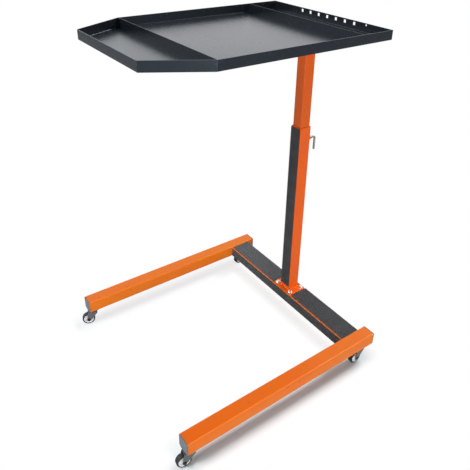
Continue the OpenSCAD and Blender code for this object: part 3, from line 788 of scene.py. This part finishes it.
def makeTrayShell(spec):
    front = trayLow.y
    taperEnd = front + spec["taper"]
    half, frontHalf = trayHigh.x, spec["frontWidth"] / 2
    corners = [(-half, trayHigh.y), (-half, taperEnd), (-frontHalf, front),
               (frontHalf, front), (half, taperEnd), (half, trayHigh.y)]
    bm = bmesh.new()
    bottom = bm.faces.new([bm.verts.new((x, y, trayLow.z)) for x, y in corners])
    deep = trayHigh.z - trayLow.z
    made = bmesh.ops.extrude_edge_only(bm, edges=list(bottom.edges))["geom"]
    bmesh.ops.translate(bm, vec=(0, 0, deep), verts=vertsIn(made))
    folds = [e for e in bm.edges
             if not e.is_boundary and all(abs(v.co.z - trayLow.z) < 1e-6 for v in e.verts)]
    roundEdges(bm, folds, spec["bend"], 4)
    uprights = [e for e in bm.edges if abs(e.verts[0].co.z - e.verts[1].co.z) > deep / 2]
    roundEdges(bm, uprights, spec["corner"], 3)

    rear = [f for f in bm.faces if f.calc_center_median().y > trayHigh.y - 1e-5 and f.calc_area() > 1e-3]
    holes, pitch = spec["holes"], spec["pitch"]
    first = -(holes - 1) / 2 * pitch - spec["shift"]
    last = first + (holes - 1) * pitch
    roundSpot = Vector((last + spec["roundGap"], trayHigh.y, trayHigh.z - spec["roundDrop"]))
    level = trayHigh.z - spec["drop"]
    halfHole = spec["hole"] / 2
    cell = spec["round"] + spec["cell"]
    stations = [first + n * pitch + side * halfHole for n in range(holes) for side in (-1, 1)]
    stations += [roundSpot.x - cell, roundSpot.x + cell]
    for station in stations:
        rear = cutLine(bm, rear, 0, station)
    for height in (level - halfHole, level + halfHole):
        rear = cutLine(bm, rear, 2, height)
    opened = []
    for f in rear:
        spot = f.calc_center_median()
        nearest = round((spot.x - first) / pitch)
        inRow = 0 <= nearest < holes and abs(spot.x - first - nearest * pitch) < 1 * mm
        if inRow and abs(spot.z - level) < 1 * mm:
            opened.append(f)
    bmesh.ops.delete(bm, geom=opened, context="FACES")
    cells = [f for f in rear if f.is_valid and abs(f.calc_center_median().x - roundSpot.x) < 1 * mm]
    for height in (roundSpot.z - cell, roundSpot.z + cell):
        cells = cutLine(bm, cells, 2, height)
    square = [f for f in cells if abs(f.calc_center_median().z - roundSpot.z) < cell]
    outer = [e for e in {e for f in square for e in f.edges} if sum(f in square for f in e.link_faces) == 1]
    bmesh.ops.delete(bm, geom=square, context="FACES_ONLY")
    bmesh.ops.delete(bm, geom=[e for e in bm.edges if e.is_wire], context="EDGES")
    bmesh.ops.subdivide_edges(bm, edges=[e for e in outer if e.is_valid], cuts=2)
    ringEdges = [e for e in bm.edges if e.is_boundary
                 and max(abs(v.co.x - roundSpot.x) for v in e.verts) < cell + 1e-6
                 and max(abs(v.co.z - roundSpot.z) for v in e.verts) < cell + 1e-6]
    upright = Matrix.Translation(roundSpot) @ Matrix.Rotation(math.pi / 2, 4, "X")
    circle = bmesh.ops.create_circle(bm, segments=len(ringEdges), radius=spec["round"], matrix=upright)
    bmesh.ops.bridge_loops(bm, edges=ringEdges + edgesOf(circle["verts"]))
    print("tray wall cut,", len(opened), "square holes and a round one")
    piece = showPiece("trayShell", bm, "tray", "mast_head", ["tray_pan", "tray_rear_wall"],
                      sharp=24, flat=False)
    thicken(piece, spec["sheet"], spec["lip"], even=True)


makeTrayShell(trayShell)


# Cross walls of the tray
crossWall = {"edge": 0.5 * mm, "tack": 2.0 * mm, "tackPitch": 1.5 * mm, "tackLength": 12 * mm, "tacks": 4}


def makeCrossWall(spec, name, node):
    low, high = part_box(node)
    bm = bmesh.new()
    edges = edgesOf(addBlock(bm, low, high))
    roundEdges(bm, [e for e in edges if min(v.co.z for v in e.verts) > high.z - 1e-6], spec["edge"], 2)
    run = (high.x - low.x) / spec["tacks"]
    for number in range(spec["tacks"]):
        x = low.x + run * (number + 0.5)
        start, end = ((x + side * spec["tackLength"] / 2, high.y, low.z + 0.4 * mm) for side in (-1, 1))
        addWeldBead(bm, start, end, spec["tack"], spec["tackPitch"], (0, 1, 1))
    showPiece(name, bm, "tray", "mast_head", [node], clean=False)


makeCrossWall(crossWall, "frontCrossWall", "front_divider")
makeCrossWall(crossWall, "rearCrossWall", "rear_divider")
print("tray made")


# Head plate and rails under the tray
headPlate = {"corner": 4 * mm, "edge": 0.7 * mm, "weld": 2.8 * mm, "weldPitch": 1.8 * mm}
trayRail = {
    "sheet": 2 * mm,
    "bend": 3.4 * mm,
    "edge": 0.4 * mm,
    "weld": 2.4 * mm,
    "weldPitch": 1.7 * mm,
    "weldInset": 1.2 * mm,
    "stitch": 26 * mm,
    "stitches": 5,
}


def makeHeadPlate(spec):
    bm = bmesh.new()
    addSlab(bm, headLow, headHigh, spec["corner"], spec["edge"])
    showPiece("headPlate", bm, "red", "mast_head", ["head_plate"])
    bm = bmesh.new()
    reach = spec["weld"] * 0.28
    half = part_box("mast_inner_tube")[1].x + reach
    addSquareWeld(bm, half, headLow.z - reach, spec["weld"], spec["weldPitch"], -1)
    showPiece("headWeld", bm, "red", "mast_head", sharp=60, clean=False)


def makeTrayRail(spec, name, node):
    low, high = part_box(node)
    bm = bmesh.new()
    level = Matrix.Translation((*((low + high) / 2).xy, high.z))
    size = Matrix.Diagonal((high.x - low.x, high.y - low.y, 1, 1))
    web = bmesh.ops.create_grid(bm, x_segments=1, y_segments=1, size=0.5, matrix=level @ size)["verts"]
    sides = edgesAlong(web, 1)
    down = bmesh.ops.extrude_edge_only(bm, edges=sides)["geom"]
    bmesh.ops.translate(bm, vec=(0, 0, low.z - high.z), verts=vertsIn(down))
    roundEdges(bm, [e for e in sides if e.is_valid], spec["bend"], 5)
    faceOut(bm)
    rail = showPiece(name, bm, "tray", "mast_head", [node], clean=False, sharp=24, flat=False)
    thicken(rail, spec["sheet"], spec["edge"], even=False)
    # stitch welds along both sides, against the tray
    bm = bmesh.new()
    run = (high.y - low.y) / spec["stitches"]
    z = high.z - spec["weld"] * 0.3
    for number in range(spec["stitches"]):
        y = low.y + run * (number + 0.5)
        for side, x in ((-1, low.x + spec["weldInset"]), (1, high.x - spec["weldInset"])):
            start, end = (x, y - spec["stitch"] / 2, z), (x, y + spec["stitch"] / 2, z)
            addWeldBead(bm, start, end, spec["weld"], spec["weldPitch"], (side, 0, -1))
    showPiece(name + "Weld", bm, "tray", "mast_head", sharp=60, clean=False)


makeHeadPlate(headPlate)
makeTrayRail(trayRail, "trayRailLeft", "tray_rail_left")
makeTrayRail(trayRail, "trayRailRight", "tray_rail_right")
print("tray support made")


# Casters, built with the swivel axis on Z and the wheel towards -Y, then turned to their heading
caster = {
    "trail": 20 * mm,
    "wheelRadius": 25 * mm,
    "treadWidth": 20 * mm,
    "tyre": 5.8 * mm,
    "rimWall": 3 * mm,
    "forkWidth": 28 * mm,
    "forkSheet": 2 * mm,
    "foldBend": 3.2 * mm,
    "edge": 0.25 * mm,
    "eye": 8 * mm,
    "eyeSweep": 141,  # degrees of the eye that the arm's outline goes round
    "plateCorner": 4 * mm,
    "plate": 2.5 * mm,
    "race": 5.5 * mm,
    "raceRadius": 18 * mm,
    "raceBore": 4.15 * mm,
    "slope": 2.5 * mm,
    "gap": 0.4 * mm,
    "cup": 5 * mm,
    "cupRadius": 19 * mm,
    "cupBore": 4.05 * mm,
    "axleFlats": 10 * mm,
    "axleRadius": 3 * mm,
    "washer": 6.6 * mm,
    "washerThick": 0.8 * mm,
    "hub": 8 * mm,
    "web": 3.5 * mm,  # half the thickness of the wheel's web
}
headings = {"front_left": 20, "front_right": 10, "rear_left": -8, "rear_right": 0}
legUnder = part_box("leg_left")[0].z


def casterPlace(place):
    spot = middleOf("caster_mount_" + place)
    return Matrix.Translation((spot.x, spot.y, 0)) @ Matrix.Rotation(math.radians(-headings[place]), 4, "Z")


def makeMount(spec, place):
    node = "caster_mount_" + place
    low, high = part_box(node)
    spot = Matrix.Translation((*middleOf(node).xy, 0))
    top = legUnder - spec["plate"]
    bottom = top - spec["race"]
    bm = bmesh.new()
    addSlab(bm, (low.x, low.y, top), (high.x, high.y, legUnder), spec["plateCorner"], 0.5 * mm)
    bore, wide, narrow = spec["raceBore"], spec["raceRadius"], spec["raceRadius"] - spec["slope"]
    outline = [(bore, bottom), (narrow, bottom), (narrow + 0.8 * mm, bottom + 1.2 * mm),
               (wide - 0.6 * mm, top - 1.6 * mm), (wide, top), (bore, top)]
    addMesh(bm, turned(outline, spot, 56, 0.5 * mm, 3))
    showPiece("casterMount_" + place, bm, "caster", "base", [node])


def makeFork(spec, place):
    half, trail, eye, wheel = spec["forkWidth"] / 2, spec["trail"], spec["eye"], spec["wheelRadius"]
    cupTop = legUnder - spec["plate"] - spec["race"] - spec["gap"]
    crownTop = cupTop - spec["cup"]
    rear = spec["cupRadius"] - spec["slope"]
    bm = bmesh.new()
    # one arm as a flat outline, its eye drawn round the axle
    arc = [(-trail - eye * math.cos(math.radians(a)), wheel - eye * math.sin(math.radians(a)))
           for a in range(0, spec["eyeSweep"], 14)]
    outline = [(rear, crownTop), (-trail, crownTop), *arc, (rear, crownTop - 2 * spec["forkSheet"])]
    arm = bm.faces.new([bm.verts.new((-half, y, z)) for y, z in outline])
    topEdge = [e for e in arm.edges if all(abs(v.co.z - crownTop) < 1e-7 for v in e.verts)]
    crown = bmesh.ops.extrude_edge_only(bm, edges=topEdge)["geom"]
    twin = bmesh.ops.duplicate(bm, geom=[arm, *arm.verts, *arm.edges])["geom"]
    bmesh.ops.translate(bm, vec=(2 * half, 0, 0), verts=vertsIn(crown) + vertsIn(twin))
    bmesh.ops.remove_doubles(bm, verts=bm.verts, dist=1e-6)
    bmesh.ops.recalc_face_normals(bm, faces=bm.faces)
    folds = [e for e in bm.edges if e.is_manifold and all(abs(v.co.z - crownTop) < 1e-7 for v in e.verts)]
    roundEdges(bm, folds, spec["foldBend"], 4)
    faceOut(bm)
    bmesh.ops.solidify(bm, geom=list(bm.faces), thickness=spec["forkSheet"])
    sharp = [e for e in bm.edges if e.calc_face_angle(0) > math.radians(60)]
    roundEdges(bm, sharp, spec["edge"], 2)
    bmesh.ops.transform(bm, matrix=casterPlace(place), verts=bm.verts)
    bore, wide = spec["cupBore"], spec["cupRadius"]
    cup = [(bore, crownTop - 1 * mm), (rear - 1.5 * mm, crownTop - 1 * mm), (rear, crownTop + 0.4 * mm),
           (wide - 0.4 * mm, cupTop - 1.8 * mm), (wide, cupTop - 0.8 * mm), (wide - 0.8 * mm, cupTop),
           (bore, cupTop)]
    addMesh(bm, turned(cup, casterPlace(place), 56))
    showPiece("fork_" + place, bm, "fork", "caster_" + place, ["fork_" + place])


def acrossWheel(spec, place):
    # Z of a lathe to the axle, with its middle at the wheel's middle
    return (casterPlace(place) @ Matrix.Translation((0, -spec["trail"], spec["wheelRadius"]))
            @ Matrix.Rotation(math.radians(90), 4, "Y"))


def makeAxle(spec, place):
    half, radius = spec["forkWidth"] / 2, spec["axleRadius"]
    across = acrossWheel(spec, place)
    pin = [(0, -half - 0.1 * mm), (radius, -half - 0.1 * mm), (radius, half + 4.4 * mm),
           (radius - 0.6 * mm, half + 5 * mm), (0, half + 5 * mm)]
    bm = turned(pin, across, 28)
    bore, wide, outer = radius + 0.2 * mm, spec["washer"], half + spec["washerThick"]
    for side, thick in ((across @ Matrix.Rotation(math.pi, 4, "X"), 3 * mm), (across, 4 * mm)):
        addHexagon(bm, spec["axleFlats"], half, half + thick, 0.7 * mm, side)
        washer = [(bore, half), (wide, half), (wide, outer), (bore, outer)]
        addMesh(bm, turned(washer, side, 32, 0.2 * mm))
    showPiece("axle_" + place, bm, "caster", "caster_" + place, ["axle_" + place])


def makeWheel(spec, place):
    rim = spec["wheelRadius"] - spec["tyre"]
    inner = rim - spec["rimWall"]
    hub, web, half = spec["hub"], spec["web"], spec["treadWidth"] / 2
    long = spec["forkWidth"] / 2 - spec["forkSheet"] - spec["gap"]
    bore = spec["axleRadius"] + 0.05 * mm
    outline = [(bore, -long), (hub - 1 * mm, -long), (hub, -long + 1.5 * mm),
               (hub + 0.6 * mm, -web - 1.6 * mm), (hub + 2.2 * mm, -web), (inner - 2.4 * mm, -web),
               (inner - 0.8 * mm, -web - 1.2 * mm), (inner, -half + 1.4 * mm),
               (inner + 0.8 * mm, -half + 1 * mm), (rim, -half + 1 * mm)]
    outline += [(r, -h) for r, h in reversed(outline)]
    bm = turned(outline, acrossWheel(spec, place), 64, 0.35 * mm, 2)
    node = "wheel_" + place
    showPiece("wheel_" + place, bm, "wheel", node, [node], sharp=50)


def makeTyre(spec, place):
    inner = spec["wheelRadius"] - spec["tyre"] + 0.1 * mm
    outer, half = spec["wheelRadius"], spec["treadWidth"] / 2
    outline = [(inner, -half + 0.6 * mm), (inner + 0.8 * mm, -half), (outer - 2.6 * mm, -half + 0.2 * mm),
               (outer - 1 * mm, -half + 1.6 * mm), (outer - 0.25 * mm, -half + 4 * mm), (outer, -0.4 * mm)]
    outline += [(r, -h) for r, h in reversed(outline)]
    bm = turned(outline, acrossWheel(spec, place), 72, 0.5 * mm, 3)
    showPiece("tyre_" + place, bm, "tyre", "wheel_" + place, ["tyre_" + place],
              sharp=50)


for place in places:
    for make in (makeMount, makeFork, makeAxle, makeWheel, makeTyre):
        make(caster, place)
print("casters made")


# Floor, world and lamps
studio = {
    "paper": colour(254, 254, 255),  # the floor as the camera sees it
    "coolPaper": colour(244, 253, 255),  # painted cool tint under the near leg, cancelling the warm light that the leg bounces onto the floor
    "fibre": colour(246, 246, 248),
    "board": colour(184, 184, 187),  # and as it lights and is mirrored in the object
    # painted light on the floor: share of plain white that the camera sees, at distances from left to right;
    # it washes out the shadows between the legs and weakens the far leg's
    "film": [(-0.49, 1.0), (-0.44, 0.73), (-0.345, 0.74), (-0.31, 1.0),
             (0.27, 1.0), (0.33, 0.0), (0.41, 0.0), (0.455, 1.0)],
    "nearLeg": (0.43, 0.40),
    "whiteAside": (0.395, 0.46),  # and beyond these distances in front of the frame and behind it
    "whiteAway": (0.75, 1.1),
    "barShade": (0.27, 0.33, 0.45),  # under the crossbar some of the painted white goes again, so the bar's shadow shows
    "barEnds": (0.36, 0.33),
    "mirrorFrom": (1.0, 3.0),
    "mirrored": 0.12,
    "ambient": 0.13,
    "ambientTint": colour(252, 253, 255),
    "horizon": [(0.0, 0.45), (0.15, 0.60), (0.30, 0.62), (0.56, 0.42), (0.80, 0.25)],
    "horizonPeak": 2.45,
    "brightSide": (-0.95, 0.31, 0.0),
    "brightSpread": (0.20, 0.90),
    "behindCamera": 0.45,
    # directions that only rounded edges mirror: the near leg's top edge, and the crossbar's front edge
    "edgeSides": [(0.80, 0.30, 0.52), (-0.58, -0.63, 0.52)],
    "edgeSpread": (0.955, 0.99),
    "edgeShine": 6.0,
}
lamps = [
    # name, place, aim, size, watts
    ("frontKey", (0.1, -3.9, 4.5), (0.0, 0.0, 0.1), 1.8, 150),
    ("rearKey", (0.1, 3.9, 4.5), (0.0, 0.0, 0.1), 1.8, 200),
    ("sideFill", (6.5, -0.9, 1.0), (0.0, 0.1, 0.45), 2.0, 275),
    ("frontFill", (1.2, -6.0, 0.9), (0.0, 0.3, 0.5), 1.8, 141),
    ("farFill", (-6.0, 0.6, 0.9), (0.0, 0.1, 0.5), 2.0, 80),
]


def makeStudio(spec):
    shader = Shader(bpy.data.materials.new("studioFloor"))
    spot = shader.add("TexCoord", output="Object")
    away = shader.add("VectorMath", {"operation": "LENGTH"}, {0: spot}, output="Value")
    across, depth = shader.axis("X"), shader.axis("Y")
    seen = shader.ray("Is Camera Ray")
    mirrored = shader.ray("Is Glossy Ray")
    aside = shader.within(depth.size(), *spec["whiteAside"])
    # painted cool tint on the floor under the near leg
    under = shader.within(across, *spec["nearLeg"]) * (1 - aside)
    paper = shader.blend(under, spec["paper"], spec["coolPaper"])
    paper = shader.blend(0.04 * shader.cloud(0.7, 2, 0.5), paper, spec["fibre"])
    lit = shader.add("BsdfDiffuse", {}, {"Color": shader.blend(seen, spec["board"], paper)})
    # painted light: the camera sees more plain white where shadows are to be washed out
    rows = [(0.5 + place, (value, value, value)) for place, value in spec["film"]]
    film = shader.add("ValToRGB", {"stops": rows}, {"Fac": across + 0.5})
    start, end, share = spec["barShade"]
    bar = shader.within(depth, start, end) * shader.within(across.size(), *spec["barEnds"])
    film = film * (1 - share * bar)
    film = film.greatest(aside).greatest(shader.within(away, *spec["whiteAway"])) * seen
    far = shader.within(away, *spec["mirrorFrom"]) * spec["mirrored"] * mirrored
    white = shader.add("Emission", {}, {"Color": (1, 1, 1, 1), "Strength": 1.0})
    shown = shader.add("MixShader", {}, {0: film, 1: lit, 2: white})
    glow = shader.add("Emission", {}, {"Color": (1, 1, 1, 1), "Strength": far})
    shown = shader.add("AddShader", {}, {0: shown, 1: glow})
    shader.add("OutputMaterial", {}, {"Surface": shown})
    bm = bmesh.new()
    bmesh.ops.create_grid(bm, x_segments=1, y_segments=1, size=60)
    mesh = bpy.data.meshes.new("studioFloor")
    bm.to_mesh(mesh)
    bm.free()
    mesh.materials.append(shader.owner)
    floor = bpy.data.objects.new("studioFloor", mesh)
    bpy.context.scene.collection.objects.link(floor)

    sky = Shader(bpy.data.worlds.new("studioWorld"))
    bpy.context.scene.world = sky.owner
    ray = sky.add("TexCoord", output="Generated")
    level = sky.add("VectorMath", {"operation": "MULTIPLY"}, {0: ray, 1: (1, 1, 0)})
    bearing = sky.add("VectorMath", {"operation": "NORMALIZE"}, {0: level})
    facing = sky.add("VectorMath", {"operation": "DOT_PRODUCT"},
                     {0: bearing, 1: Vector(spec["brightSide"]).normalized()}, output="Value")
    height = sky.add("SeparateXYZ", {}, {0: ray}, output="Z")
    rows = [(place, (value, value, value)) for place, value in spec["horizon"]]
    profile = sky.add("ValToRGB", {"stops": rows}, {"Fac": height})
    wide = sky.within(facing, *spec["brightSpread"], spec["behindCamera"], 1.0)
    reflected = profile * wide * spec["horizonPeak"]
    for side in spec["edgeSides"]:
        edge = sky.add("VectorMath", {"operation": "DOT_PRODUCT"},
                       {0: ray, 1: Vector(side).normalized()}, output="Value")
        reflected = reflected + sky.within(edge, *spec["edgeSpread"]) * spec["edgeShine"]
    seen = sky.ray("Is Camera Ray")
    mirrored = sky.ray("Is Glossy Ray")
    strength = seen + (1 - seen) * (mirrored * reflected + (1 - mirrored) * spec["ambient"])
    tint = sky.blend(seen, spec["ambientTint"], (1, 1, 1, 1))
    light = sky.add("Background", {}, {"Color": tint, "Strength": strength})
    sky.add("OutputWorld", {}, {"Surface": light})


def makeLamps(rows):
    for name, place, aim, size, watts in rows:
        lamp = bpy.data.lights.new(name, "AREA")
        lamp.shape = "SQUARE"
        lamp.size = size
        lamp.energy = watts
        holder = bpy.data.objects.new(name, lamp)
        holder.location = place
        holder.rotation_mode = "QUATERNION"
        holder.rotation_quaternion = (Vector(aim) - Vector(place)).to_track_quat("-Z", "Y")
        bpy.context.scene.collection.objects.link(holder)


makeStudio(studio)
makeLamps(lamps)
bpy.context.scene.view_settings.view_transform = "Standard"
print("studio made")
